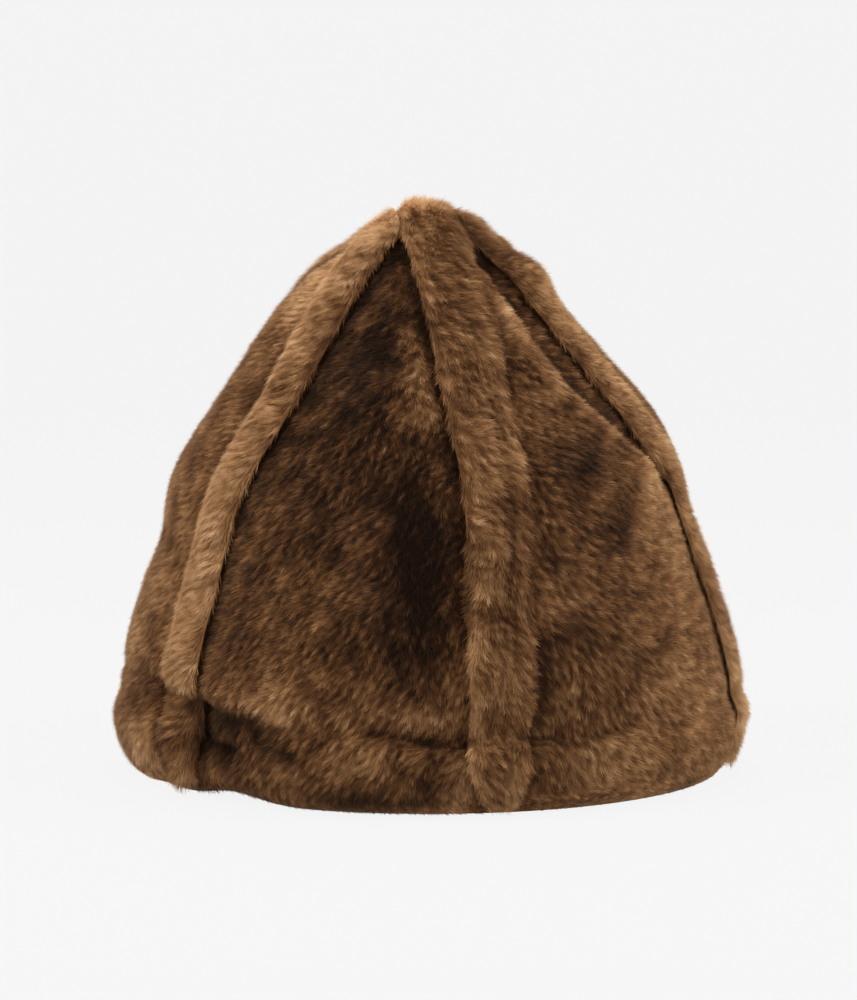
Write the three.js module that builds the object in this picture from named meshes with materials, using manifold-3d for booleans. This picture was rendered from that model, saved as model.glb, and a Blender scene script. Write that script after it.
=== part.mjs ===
// A bell-shaped cap of sheared sheepskin: six gores, a raised strip of the same skin over every seam, and a
// hem turned in and stitched. One strip runs from hem to hem over the crown, and four stop against it.
// Millimetres, +Z up. The origin is the middle of the footprint, angle 0 is the front (-Y) and 90 is +X.
import * as THREE from "three";
import { mergeVertices } from "three/addons/utils/BufferGeometryUtils.js";
import Module from "manifold-3d";

// Driving dimensions.
const STRIP_CREST = 1.4; // how far the middle of a strip stands proud of the section line
const STRIP_EDGE = 1.6; // how thick a strip is along its two edges
const STRIP_FOOT = 3.5; // height at which a strip starts above the floor
const FOOT_WIDTH = 0.66; // a strip's lower end is rounded off to this share of its width
const FOOT_ROUNDING = 18; // and is at its full width from this height
const PIECE_GAP = 0.3; // between one gore and the next, and at a cut strip end
const UNDER_STRIP = 0.7; // between a gore and the strip that lies on it
const VALLEY_DEPTH = 4.2; // how far the pile sinks at a seam
const VALLEY_REACH = 18; // and how far from the seam that is felt
const GORE_TIP_RADIUS = 2.5; // where the gores stop short of the apex
const STRIP_TIP_RADIUS = 5; // where a short strip would end if the long one did not stop it
const STRAIGHT_INSIDE = 35; // strips run straight across the crown inside this radius
const ROUND_OUTSIDE = 60; // and bend round with it outside this one
const NARROWEST = 0.42; // a strip covers no more than this share of a gore on each side
const TIP_LEAN = -2.2; // how far the tip stands to +X of the middle

const ROWS = 26; // rows of facets from foot to tip
const STRIP_COLUMNS = [-1, -0.6, 0, 0.6, 1]; // across a strip, in half widths
const OPEN_COLUMNS = [0.08, 0.26, 0.42, 0.58, 0.74, 0.92]; // across the open part of a gore, as shares of it

// The wall's section in the middle of a gore, from the foot of the hem to the apex. The outer figures are
// the tips of the pile. The inner ones are bare skin, and below 36 mm the leaf of the hem that is turned in.
const SECTION = [
  { height: 0, radius: 107.5, innerHeight: 0, innerRadius: 98.5 },
  { height: 4, radius: 112.4, innerHeight: 2.8, innerRadius: 95 },
  { height: 12, radius: 116.6, innerHeight: 11, innerRadius: 93 },
  { height: 22, radius: 118.1, innerHeight: 22, innerRadius: 93 },
  { height: 31, radius: 115.4, innerHeight: 29.5, innerRadius: 95.5 },
  { height: 40, radius: 114.5, innerHeight: 36, innerRadius: 102.8 },
  { height: 58, radius: 110.5, innerHeight: 55.5, innerRadius: 99.6 },
  { height: 78, radius: 104.4, innerHeight: 75, innerRadius: 93.7 },
  { height: 98, radius: 99.2, innerHeight: 94, innerRadius: 88.8 },
  { height: 114, radius: 93.4, innerHeight: 108.5, innerRadius: 83.6 },
  { height: 130, radius: 83.8, innerHeight: 123, innerRadius: 75.4 },
  { height: 150, radius: 70.2, innerHeight: 142, innerRadius: 62.4 },
  { height: 170, radius: 55, innerHeight: 161.5, innerRadius: 47.6 },
  { height: 187, radius: 41.4, innerHeight: 179, innerRadius: 33.6 },
  { height: 199, radius: 27, innerHeight: 190, innerRadius: 20.5 },
  { height: 206.2, radius: 15.6, innerHeight: 196.5, innerRadius: 11 },
  { height: 209.6, radius: 7, innerHeight: 199.4, innerRadius: 4.5 },
  { height: 210.2, radius: 0, innerHeight: 200, innerRadius: 0 },
];

// The six seams: each one's angle in degrees at seven even steps from foot to tip, and its strip's width.
const SEAMS = [
  { name: "front", angles: [12.5, 12, 12.8, 14.2, 13, 10, 9], footWidth: 20.5, tipWidth: 25 },
  { name: "right", angles: [83, 82, 78.7, 75, 63, 59, 56], footWidth: 21, tipWidth: 18 },
  { name: "back_right", angles: [134, 134, 133, 131, 128, 125, 124], footWidth: 21, tipWidth: 21 },
  { name: "back", angles: [190, 190, 190, 191, 191, 190, 189], footWidth: 21, tipWidth: 25 },
  { name: "back_left", angles: [249, 249, 250, 250, 252, 254, 254], footWidth: 21, tipWidth: 21 },
  { name: "left", angles: [307.5, 307.5, 308, 310, 316.5, 318, 318], footWidth: 20.5, tipWidth: 19 },
];

// Dents (push below 0) and swells (push above 0) in the outer face. Each follows a straight line over the
// skin between two places and fades out within its reach. A place is an angle in degrees and a height, or,
// where the row names a seam, the millimetres to the +X side of that seam and a height.
const SHAPING = [
  { name: "hem pinch", from: [-46, 20], to: [-34, 22], reach: 12, push: -6 },
  { name: "left strip pinch", seam: "left", from: [-10, 35], to: [12, 33], reach: 6, push: -3 },
  { name: "front strip pinch", seam: "front", from: [-12, 30], to: [12, 30], reach: 5, push: -2 },
  { name: "flank hollow", from: [-90, 88], to: [-76, 90], reach: 12, push: -2 },
  { name: "left crown swell", from: [-90, 166], to: [-66, 166], reach: 16, push: 1.6 },
  { name: "left tip hollow", from: [-110, 200], to: [-70, 200], reach: 11, push: -2.5 },
  { name: "right shoulder swell", from: [76, 134], to: [100, 130], reach: 15, push: 2 },
  { name: "right crown hollow", from: [84, 170], to: [100, 170], reach: 14, push: -1.5 },
  { name: "right tip swell", from: [60, 184], to: [82, 184], reach: 7, push: 2.2 },
  { name: "right tip hollow", from: [50, 196], to: [90, 196], reach: 6, push: -2.2 },
  { name: "right flank hollow", from: [76, 98], to: [98, 93], reach: 13, push: -2.2 },
  { name: "right strip pinch", seam: "right", from: [-9, 15], to: [10, 15], reach: 9, push: -1.8 },
  { name: "crown fold", seam: "right", from: [-26, 182], to: [-34, 148], reach: 6, push: 3 },
  { name: "low crown fold", seam: "right", from: [-34, 138], to: [-24, 116], reach: 6, push: 2.5 },
  { name: "crown groove", seam: "right", from: [-16, 188], to: [-21, 146], reach: 6.5, push: -6 },
  { name: "low crown groove", seam: "right", from: [-20, 136], to: [-14, 116], reach: 5, push: -4.5 },
];

// Stretches of the hem that stand a little off the floor.
const HEM_LIFTS = [
  { angle: -40, reach: 9, lift: 3.5 },
  { angle: -60, reach: 8, lift: 1.5 },
];
const HEM_HEIGHT = 36; // a lift has faded out at this height

const colours = { crown: 0x5f4028, strip: 0x805b3a };

const { degToRad, euclideanModulo, lerp, smoothstep } = THREE.MathUtils;
const wasm = await Module();
wasm.setup();

// A smooth line through two columns of the section, with x for the radius and y for the height.
function lineThrough(radius, height) {
  const points = SECTION.map((row) => new THREE.Vector3(row[radius], row[height], 0));
  return new THREE.CatmullRomCurve3(points, false, "centripetal");
}

const outerLine = lineThrough("radius", "height");
const innerLine = lineThrough("innerRadius", "innerHeight");
const totalHeight = SECTION[SECTION.length - 1].height;

// The share of the section, from foot to apex, at which a falling or rising measure of it passes a value.
function shareWhere(measure, value, from, to) {
  let below = from;
  let above = to;
  for (let step = 0; step < 40; step += 1) {
    const middle = (below + above) / 2;
    const short = measure(middle) < value === measure(from) < measure(to);
    if (short) {
      below = middle;
    } else {
      above = middle;
    }
  }
  return (below + above) / 2;
}

const shareAtHeight = (height) => shareWhere((share) => outerLine.getPoint(share).y, height, 0, 1);
const shareAtRadius = (radius) => shareWhere((share) => outerLine.getPoint(share).x, radius, 0.3, 1);

// A seam's angle in radians at a share of the section, on a smooth curve through its seven figures.
const seamLines = new Map();
for (const seam of SEAMS) {
  const points = seam.angles.map((angle) => new THREE.Vector2(degToRad(angle), 0));
  seamLines.set(seam, new THREE.SplineCurve(points));
}
const seamAngle = (seam, share) => seamLines.get(seam).getPoint(share).x;
const seamNamed = (name) => SEAMS.find((seam) => seam.name === name);

// The signed turn in radians from one angle to another, by the short way round.
function turnBetween(from, to) {
  return euclideanModulo(to - from + Math.PI, 2 * Math.PI) - Math.PI;
}

// How far the pile has sunk below the section line because a seam is near.
function seamSinking(angle, share) {
  const radius = outerLine.getPoint(share).x;
  const distances = SEAMS.map((seam) => Math.abs(turnBetween(seamAngle(seam, share), angle)) * radius);
  return VALLEY_DEPTH * Math.exp(-((Math.min(...distances) / VALLEY_REACH) ** 2));
}

// How far the table of dents and swells moves the skin at a place, measured over the skin as if it lay flat.
function shapedPush(angle, share) {
  const { x: radius, y: height } = outerLine.getPoint(share);
  let push = 0;
  for (const { seam, from, to, reach, push: depth } of SHAPING) {
    const zero = seam ? seamAngle(seamNamed(seam), share) : degToRad(from[0]);
    const [start, end] = seam ? [from[0], to[0]] : [0, degToRad(to[0] - from[0]) * radius];
    const here = new THREE.Vector3(turnBetween(zero, angle) * radius, height, 0);
    const ridge = new THREE.Line3(new THREE.Vector3(start, from[1], 0), new THREE.Vector3(end, to[1], 0));
    const nearest = ridge.closestPointToPoint(here, true, new THREE.Vector3());
    push += depth * Math.exp(-((nearest.distanceTo(here) / reach) ** 2));
  }
  return push;
}

// A point in space from an angle, a radius and a height, with the hem's lifts and the lean of the tip.
function place(angle, radius, height) {
  let lift = 0;
  for (const stretch of HEM_LIFTS) {
    const turn = turnBetween(degToRad(stretch.angle), angle) / degToRad(stretch.reach);
    lift += stretch.lift * Math.exp(-(turn ** 2)) * (1 - smoothstep(height, 0, HEM_HEIGHT));
  }
  const lean = TIP_LEAN * (height / totalHeight) ** 2;
  return new THREE.Vector3(radius * Math.sin(angle) + lean, -radius * Math.cos(angle), height + lift);
}

// A point of the outer face, or one raised from the pile by so many millimetres. The hem's sole stays flat.
function outerPoint(angle, share, raised = 0) {
  const base = outerLine.getPoint(share);
  const along = outerLine.getTangent(share);
  const pile = shapedPush(angle, share) - seamSinking(angle, share);
  const offset = pile * smoothstep(base.y, 0, STRIP_FOOT) + raised;
  const radius = Math.max(base.x + along.y * offset, 0);
  const height = Math.max(base.y - along.x * offset, 0);
  return place(angle, radius, height);
}

function innerPoint(angle, share) {
  const { x: radius, y: height } = innerLine.getPoint(share);
  return place(angle, radius, height);
}

// Half the width of the strip on a seam, which is rounded off at the foot.
function fullHalf(seam, share) {
  const rounding = lerp(FOOT_WIDTH, 1, smoothstep(outerLine.getPoint(share).y, 0, FOOT_ROUNDING));
  return (lerp(seam.footWidth, seam.tipWidth, share) / 2) * rounding;
}

// The same, but narrow enough to leave the gores on both sides showing.
function fittedHalf(seam, share) {
  const index = SEAMS.indexOf(seam);
  const neighbours = [SEAMS[(index + 1) % SEAMS.length], SEAMS[(index + SEAMS.length - 1) % SEAMS.length]];
  const here = seamAngle(seam, share);
  const turns = neighbours.map((other) => Math.abs(turnBetween(here, seamAngle(other, share))));
  return Math.min(fullHalf(seam, share), NARROWEST * Math.min(...turns) * outerLine.getPoint(share).x);
}

// Two equal grids of points, outer and inner, made into one closed body. Rows climb and columns turn to +X.
// Facets that face each other across a gap are split along the same diagonal.
function bodyBetween(outer, inner) {
  const [lastRow, lastColumn] = [outer.length - 1, outer[0].length - 1];
  const positions = [...outer.flat(), ...inner.flat()].flatMap((point) => point.toArray());
  const triangles = [];
  const quad = (a, b, c, d) => triangles.push(a, b, c, a, c, d);
  const over = (row, column) => row * (lastColumn + 1) + column;
  const under = (row, column) => over(row + lastRow + 1, column);
  for (let r = 0; r < lastRow; r += 1) {
    for (let c = 0; c < lastColumn; c += 1) {
      quad(over(r, c), over(r, c + 1), over(r + 1, c + 1), over(r + 1, c));
      quad(under(r, c), under(r + 1, c), under(r + 1, c + 1), under(r, c + 1));
    }
    quad(over(r, 0), over(r + 1, 0), under(r + 1, 0), under(r, 0));
    const c = lastColumn;
    quad(under(r + 1, c), over(r + 1, c), over(r, c), under(r, c));
  }
  for (let c = 0; c < lastColumn; c += 1) {
    const r = lastRow;
    quad(under(0, c), under(0, c + 1), over(0, c + 1), over(0, c));
    quad(over(r, c), over(r, c + 1), under(r, c + 1), under(r, c));
  }
  const geometry = new THREE.BufferGeometry();
  geometry.setAttribute("position", new THREE.Float32BufferAttribute(positions, 3));
  geometry.setIndex(triangles);
  return geometry;
}

function evenShares(from, to, count) {
  return Array.from({ length: count + 1 }, (unused, step) => lerp(from, to, step / count));
}

// Where on the skin a point beside a seam lies: so far along the seam, and so far to one side of it.
function besideSeam(seam, share, aside) {
  const radius = outerLine.getPoint(share).x;
  const round = smoothstep(radius, STRAIGHT_INSIDE, ROUND_OUTSIDE);
  const straightTurn = Math.atan2(aside, radius);
  const turn = round === 0 ? straightTurn : lerp(straightTurn, aside / radius, round);
  const reached = lerp(Math.hypot(aside, radius), radius, round);
  return { angle: seamAngle(seam, share) + turn, share: round === 1 ? share : shareAtRadius(reached) };
}

// The rows that gores and strips have in common, so that a strip lies on its gores facet for facet.
const skinRows = evenShares(shareAtHeight(STRIP_FOOT), shareAtRadius(GORE_TIP_RADIUS), ROWS);

// One gore: a curved wall between two seams, with columns where the strips' own columns lie over it.
function goreBody(seam, nextSeam) {
  const outer = [];
  const inner = [];
  const covered = STRIP_COLUMNS.filter((column) => column > 0);
  for (const share of [0, ...skinRows]) {
    const outerClear = PIECE_GAP / 2;
    const innerClear = (outerClear * outerLine.getPoint(share).x) / innerLine.getPoint(share).x;
    const spots = (clear) => {
      const before = [clear, ...covered.map((column) => column * fittedHalf(seam, share))];
      const after = [clear, ...covered.map((column) => column * fittedHalf(nextSeam, share))];
      const first = before.map((aside) => besideSeam(seam, share, aside));
      const last = after.map((aside) => besideSeam(nextSeam, share, -aside)).reverse();
      const from = first[first.length - 1];
      const turn = euclideanModulo(last[0].angle - from.angle, 2 * Math.PI);
      const open = OPEN_COLUMNS.map((column) => ({
        angle: from.angle + turn * column,
        share: lerp(share, lerp(from.share, last[0].share, column), Math.abs(2 * column - 1)),
      }));
      return [...first, ...open, ...last];
    };
    outer.push(spots(outerClear).map((spot) => outerPoint(spot.angle, spot.share)));
    inner.push(spots(innerClear).map((spot) => innerPoint(spot.angle, spot.share)));
  }
  return bodyBetween(outer, inner);
}

// A row across a strip: for each column a point under it and one over it, both raised from the pile.
function stripRow(seam, share, half, profile) {
  return STRIP_COLUMNS.map((column) => {
    const spot = besideSeam(seam, share, column * half);
    const { low, high } = profile(column, seamSinking(spot.angle, spot.share));
    return { under: outerPoint(spot.angle, spot.share, low), over: outerPoint(spot.angle, spot.share, high) };
  });
}

// The rounded section of a strip, which fills the sunk seam, stands proud in the middle and has thin edges.
function stripProfile(column, sinking) {
  const crest = STRIP_CREST + sinking;
  const edge = UNDER_STRIP + STRIP_EDGE;
  return { low: UNDER_STRIP, high: lerp(crest, edge, Math.abs(column) ** 3) };
}

function bandBody(rows) {
  const over = rows.map((row) => row.map((spot) => spot.over));
  const under = rows.map((row) => row.map((spot) => spot.under));
  return bodyBetween(over, under);
}

function shortStripBody(seam) {
  const shares = skinRows.filter((share) => outerLine.getPoint(share).x > STRIP_TIP_RADIUS);
  return bandBody(shares.map((share) => stripRow(seam, share, fittedHalf(seam, share), stripProfile)));
}

// The long strip, up the front seam, over the apex and down the back one, wider by a margin on each side.
function longStripBody(margin, profile) {
  const shares = [...skinRows, 1];
  const climb = (name) => {
    const seam = seamNamed(name);
    return shares.map((share) => stripRow(seam, share, fullHalf(seam, share) + margin, profile));
  };
  const down = climb("back").slice(0, -1).map((row) => row.reverse());
  return bandBody([...climb("front"), ...down.reverse()]);
}

function toSolid(geometry) {
  const merged = mergeVertices(geometry);
  const vertProperties = new Float32Array(merged.attributes.position.array);
  const triVerts = new Uint32Array(merged.index.array);
  return new wasm.Manifold(new wasm.Mesh({ numProp: 3, vertProperties, triVerts }));
}

function toGeometry(solid) {
  const { vertProperties, triVerts } = solid.getMesh();
  const geometry = new THREE.BufferGeometry();
  geometry.setAttribute("position", new THREE.BufferAttribute(vertProperties, 3));
  geometry.setIndex(new THREE.BufferAttribute(triVerts, 1));
  return geometry;
}

// The room that the long strip needs, with a gap on each side, taken out of a short strip's end.
const crossingRoom = toSolid(longStripBody(PIECE_GAP, () => ({ low: -3, high: 14 })));

const crownSkin = new THREE.MeshStandardMaterial({ color: colours.crown, roughness: 0.95, metalness: 0 });
const stripSkin = new THREE.MeshStandardMaterial({ color: colours.strip, roughness: 0.95, metalness: 0 });

const hat = new THREE.Group();

function addPiece(name, geometry, material) {
  geometry.computeVertexNormals();
  const mesh = new THREE.Mesh(geometry, material);
  mesh.name = name;
  hat.add(mesh);
}

SEAMS.forEach((seam, index) => {
  const nextSeam = SEAMS[(index + 1) % SEAMS.length];
  addPiece(`gore_${index + 1}`, goreBody(seam, nextSeam), crownSkin);
});

addPiece("strip_front_back", longStripBody(0, stripProfile), stripSkin);

for (const seam of SEAMS.filter(({ name }) => name !== "front" && name !== "back")) {
  const cut = toSolid(shortStripBody(seam)).subtract(crossingRoom);
  addPiece(`strip_${seam.name}`, toGeometry(cut), stripSkin);
}

export default hat;
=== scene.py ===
import bpy
import numpy as np
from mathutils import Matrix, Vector


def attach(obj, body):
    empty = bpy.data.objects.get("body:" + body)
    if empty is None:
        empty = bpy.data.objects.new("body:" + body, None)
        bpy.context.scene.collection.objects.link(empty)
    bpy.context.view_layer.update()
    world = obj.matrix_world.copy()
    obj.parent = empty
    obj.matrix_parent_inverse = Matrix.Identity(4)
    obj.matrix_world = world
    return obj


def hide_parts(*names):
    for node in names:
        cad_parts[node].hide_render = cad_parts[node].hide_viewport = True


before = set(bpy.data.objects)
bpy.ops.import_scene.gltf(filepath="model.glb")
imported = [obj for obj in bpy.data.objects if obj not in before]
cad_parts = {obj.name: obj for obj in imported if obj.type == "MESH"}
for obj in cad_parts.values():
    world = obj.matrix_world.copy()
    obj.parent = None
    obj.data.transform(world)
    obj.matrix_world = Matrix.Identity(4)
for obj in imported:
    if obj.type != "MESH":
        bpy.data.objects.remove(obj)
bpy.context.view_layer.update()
mm = 0.001  # shapes are worked out in millimetres and put into meshes in metres


# The cap's form, in millimetres and degrees, as its solids have it. Angle 0 is the front and 90 is +X.
form = {
    # height and radius of the pile's tips in the middle of a gore, then of the bare inside
    "section": [
        (0, 107.5, 0, 98.5), (4, 112.4, 2.8, 95), (12, 116.6, 11, 93), (22, 118.1, 22, 93),
        (31, 115.4, 29.5, 95.5), (40, 114.5, 36, 102.8), (58, 110.5, 55.5, 99.6), (78, 104.4, 75, 93.7),
        (98, 99.2, 94, 88.8), (114, 93.4, 108.5, 83.6), (130, 83.8, 123, 75.4), (150, 70.2, 142, 62.4),
        (170, 55, 161.5, 47.6), (187, 41.4, 179, 33.6), (199, 27, 190, 20.5), (206.2, 15.6, 196.5, 11),
        (209.6, 7, 199.4, 4.5), (210.2, 0, 200, 0),
    ],
    # each seam's angle at seven even steps from foot to tip, and its strip's width at both ends
    "seams": {
        "front": {"angles": [12.5, 12, 12.8, 14.2, 13, 10, 9], "widths": (20.5, 25)},
        "right": {"angles": [83, 82, 78.7, 75, 63, 59, 56], "widths": (21, 18)},
        "back_right": {"angles": [134, 134, 133, 131, 128, 125, 124], "widths": (21, 21)},
        "back": {"angles": [190, 190, 190, 191, 191, 190, 189], "widths": (21, 25)},
        "back_left": {"angles": [249, 249, 250, 250, 252, 254, 254], "widths": (21, 21)},
        "left": {"angles": [307.5, 307.5, 308, 310, 316.5, 318, 318], "widths": (20.5, 19)},
    },
    "stripCrest": 1.4,  # how far a strip's middle stands proud of the section line
    "stripEdge": 1.6,  # how thick its edges are
    "stripFoot": 3.5,  # the height at which strips start
    "footNarrowing": 0.66,  # a strip's lower end is rounded to this share of its width
    "footRounding": 18,
    "pieceGap": 0.3,
    "underStrip": 0.7,  # the gap between a strip and the gores
    "valleyDepth": 4.2,  # how far the pile sinks at a seam
    "valleyReach": 18,
    "goreTipRadius": 2.5,  # gores end this far from the axis
    "straightInside": 35,  # strips run straight across the crown inside this radius
    "roundOutside": 60,
    "narrowest": 0.42,  # half of a strip is at most this share of the way to the next seam
    "bulgeTop": 0.3,  # above this share of the section the radius only falls
    "tipLean": -2.2,  # millimetres to +X
    "hemLifts": [{"angle": -40, "reach": 9, "lift": 3.5}, {"angle": -60, "reach": 8, "lift": 1.5}],
    "hemHeight": 36,
}


# Rows of a table as dictionaries with its columns' names. A row may leave out the last column.
def table(columns, rows):
    return [dict(zip(columns.split(), row)) for row in rows]


# Dents (push below 0) and swells, each along a line over the skin. A place is an angle and a height, or with
# a seam named, the millimetres to its +X side and a height.
shaping = table("name seam from to reach push", [
    ("hem pinch", None, (-46, 20), (-34, 22), 12, -6),
    ("left strip pinch", "left", (-10, 35), (12, 33), 6, -3),
    ("front strip pinch", "front", (-12, 30), (12, 30), 5, -2),
    ("flank hollow", None, (-90, 88), (-76, 90), 12, -2),
    ("left crown swell", None, (-90, 166), (-66, 166), 16, 1.6),
    ("left tip hollow", None, (-110, 200), (-70, 200), 11, -2.5),
    ("right shoulder swell", None, (76, 134), (100, 130), 15, 2),
    ("right crown hollow", None, (84, 170), (100, 170), 14, -1.5),
    ("right tip swell", None, (60, 184), (82, 184), 7, 2.2),
    ("right tip hollow", None, (50, 196), (90, 196), 6, -2.2),
    ("right flank hollow", None, (76, 98), (98, 93), 13, -2.2),
    ("right strip pinch", "right", (-9, 15), (10, 15), 9, -1.8),
    ("crown fold", "right", (-26, 182), (-34, 148), 6, 3),
    ("low crown fold", "right", (-34, 138), (-24, 116), 6, 2.5),
    ("crown groove", "right", (-16, 188), (-21, 146), 6.5, -6),
    ("low crown groove", "right", (-20, 136), (-14, 116), 5, -4.5),
])

# Smaller dents that only the pile shows: puckers where the hem's stitches draw it in, and soft folds. In the
# coat's tone their dents also get painted shade and their swells painted light.
puckers = table("name seam from to reach push", [
    ("pucker beside the front strip", None, (-7, 31), (-2, 29), 2.6, -1.8),
    ("pucker under the strip's left edge", None, (-2, 28.5), (7, 28), 2, -2.2),
    ("pinhole left of the front strip", None, (-10, 31), (-9, 31), 1.8, -2.6),
    ("pucker right of the strip", None, (16, 29), (24, 28), 2.2, -1.4),
    ("long pucker on the right", None, (31, 28.5), (38, 30.5), 2.2, -1.5),
    ("low pucker on the right", None, (33, 19), (38, 18.5), 2.4, -1),
    ("fold at the strip's foot", None, (1, 22), (0, 6), 3.2, -1.6),
    ("slant fold in the front hem", None, (-6, 20), (1, 9), 2.6, -1.3),
    ("fold in the left hem", None, (-33, 27), (-24, 22), 3.5, -2.4),
    ("overhang above the left hem", None, (-48, 41), (-26, 35), 4, 1.4),
    ("hollow in the left hem", None, (-46, 25), (-40, 19), 5, -2.6),
    ("fold beside the left strip's foot", None, (-47, 26), (-46, 8), 2.6, -2),
    ("fold on the far left", None, (-57, 30), (-54, 12), 3, -2),
    ("groove along the front strip", "front", (4, 142), (4, 52), 1.9, -0.6),
    ("dip across the front strip", "front", (-12, 75), (2, 70), 5, -0.9),
    ("swell, front left", None, (-8, 150), (-2, 138), 7, 1.0),
    ("raised end, left strip", "left", (0, 207), (0, 198), 6.5, 2.6),
    ("dip, front left", None, (-6, 112), (0, 84), 9, -1.6),
    ("brow, front right", None, (40, 106), (54, 112), 7, 1),
    ("back pucker", None, (150, 32), (158, 31), 2.4, -1.3),
    ("back left pucker", None, (-130, 34), (-122, 33), 2.4, -1.3),
    ("back right pucker", None, (108, 30), (116, 31), 2.4, -1.3),
    ("soft dent on the right", None, (104, 96), (112, 70), 10, -1.6),
    ("soft dent at the back", None, (158, 120), (164, 84), 10, -1.6),
    ("soft dent on the back left", None, (-142, 92), (-134, 64), 10, -1.6),
])

seamNames = list(form["seams"])
shares = np.linspace(0, 1, 3001)  # steps along the section at which its lines are tabled


# A cubic that leaves start and meets end with the given slopes, for steps from 0 to 1.
def cubic(start, end, slopeOut, slopeIn, step):
    rise = end - start
    return start + slopeOut * step + (3 * rise - 2 * slopeOut - slopeIn) * step**2 + (
        slopeOut + slopeIn - 2 * rise) * step**3


# For each step, the four points round its place on a line, and how far past the second of them it is.
def stretchesOf(around):
    last = len(around) - 3
    spot = shares * last
    first = np.minimum(spot.astype(int), last - 1)
    return (*(around[first + k] for k in range(4)), spot - first)


# A smooth line through points: on each stretch a cubic whose end slopes come from the neighbouring points,
# weighed by the square roots of their distances.
def lineThrough(points):
    points = np.array(points, float)
    around = np.vstack([2 * points[0] - points[1], points, 2 * points[-1] - points[-2]])
    before, start, end, after, step = stretchesOf(around)
    gapBefore, gap, gapAfter = (
        np.sqrt(np.linalg.norm(b - a, axis=1))[:, None]
        for a, b in ((before, start), (start, end), (end, after))
    )
    slopeOut = ((start - before) / gapBefore - (end - before) / (gapBefore + gap) + (end - start) / gap) * gap
    slopeIn = ((end - start) / gap - (after - start) / (gap + gapAfter) + (after - end) / gapAfter) * gap
    return cubic(start, end, slopeOut, slopeIn, step[:, None])


# The same through single values at even steps, with slopes of half the way between the neighbours.
def curveThrough(values):
    before, start, end, after, step = stretchesOf(np.array([values[0], *values, values[-1]], float))
    return cubic(start, end, (end - before) / 2, (after - start) / 2, step)


outerLine = lineThrough([row[:2] for row in form["section"]])
innerLine = lineThrough([row[2:] for row in form["section"]])
outerSlope = np.gradient(outerLine, axis=0)
outerSlope /= np.linalg.norm(outerSlope, axis=1)[:, None]
outerLength = np.append(0, np.cumsum(np.linalg.norm(np.diff(outerLine, axis=0), axis=1)))
seamCurves = {name: np.radians(curveThrough(seam["angles"])) for name, seam in form["seams"].items()}
totalHeight = form["section"][-1][0]


# The value that lies at a share of the way from a to b.
def mix(a, b, share):
    return a + (b - a) * share


# 0 up to low and 1 from high on, and between them 3 times the share squared less 2 times the share cubed.
def smoothStep(value, low, high):
    share = np.clip((value - low) / (high - low), 0, 1)
    return share * share * (3 - 2 * share)


# Height and radius of the outer line, and a seam's angle, read from their tables at a share of the section.
def heightAt(share):
    return np.interp(share, shares, outerLine[:, 0])


def radiusAt(share):
    return np.interp(share, shares, outerLine[:, 1])


def seamAngle(name, share):
    return np.interp(share, shares, seamCurves[name])


# The other way round: the share that belongs to a height, a radius or a length along the outer line.
def shareAtHeight(height):
    return np.interp(height, outerLine[:, 0], shares)


def shareAtRadius(radius):
    falling = shares >= form["bulgeTop"]
    return np.interp(radius, outerLine[falling, 1][::-1], shares[falling][::-1])


def shareAtLength(length):
    return np.interp(length, outerLength, shares)


# The shorter way round from one angle to another, in radians.
def turnBetween(start, end):
    return (end - start + np.pi) % (2 * np.pi) - np.pi


# How far the pile sinks: the valley's depth times exp(-(distance to the nearest seam / its reach) squared).
def seamSinking(angle, share):
    turns = [np.abs(turnBetween(seamAngle(name, share), angle)) for name in seamNames]
    distance = np.min(turns, axis=0) * radiusAt(share)
    return form["valleyDepth"] * np.exp(-((distance / form["valleyReach"]) ** 2))


# Sum over the rows of push times exp(-(distance to the row's line / reach) squared).
def pushOf(rows, angle, share):
    radius = radiusAt(share)
    height = heightAt(share)
    push = np.zeros_like(angle)
    for row in rows:
        (x0, y0), (x1, y1) = row["from"], row["to"]
        if row["seam"]:
            zero, startX, endX = seamAngle(row["seam"], share), x0, x1
        else:
            zero, startX, endX = np.radians(x0), 0, np.radians(x1 - x0) * radius
        x = turnBetween(zero, angle) * radius
        alongX, alongY = endX - startX, y1 - y0
        along = np.maximum(alongX**2 + alongY**2, 1e-9)
        step = np.clip(((x - startX) * alongX + (height - y0) * alongY) / along, 0, 1)
        distance = np.hypot(x - startX - alongX * step, height - y0 - alongY * step)
        push += row["push"] * np.exp(-((distance / row["reach"]) ** 2))
    return push


# A point from angle, radius and height. The rim's lifts fade out up the hem, each with exp(-(turn / reach)
# squared), and the lean grows with the square of the height.
def placed(angle, radius, height):
    lift = 0
    for stretch in form["hemLifts"]:
        turn = turnBetween(np.radians(stretch["angle"]), angle) / np.radians(stretch["reach"])
        lift += stretch["lift"] * np.exp(-(turn**2)) * (1 - smoothStep(height, 0, form["hemHeight"]))
    lean = form["tipLean"] * (height / totalHeight) ** 2
    return np.stack([radius * np.sin(angle) + lean, -radius * np.cos(angle), height + lift], axis=-1)


# The stitches that hold the hem: their height at some angles, and how deep they draw the pile in.
stitchLine = {
    "angles": [-180, -125, -90, -66, -52, -42, -30, 0, 37, 60, 120, 180],
    "heights": [33, 36, 40, 42, 38, 34, 31, 29, 30, 31, 32, 33],
    "depths": [0.3, 0.3, 0.9, 2.0, 2.6, 3.0, 2.2, 0.2, 0.2, 0.4, 0.3, 0.3],
    "reach": 2.2,
}


# How deep the pile is drawn in: the depth at this angle times exp(-(height off the line / reach) squared).
def stitchCrease(angle, share):
    degrees = np.degrees(turnBetween(0, angle))
    height = np.interp(degrees, stitchLine["angles"], stitchLine["heights"])
    depth = np.interp(degrees, stitchLine["angles"], stitchLine["depths"])
    return depth * np.exp(-(((heightAt(share) - height) / stitchLine["reach"]) ** 2))


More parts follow.
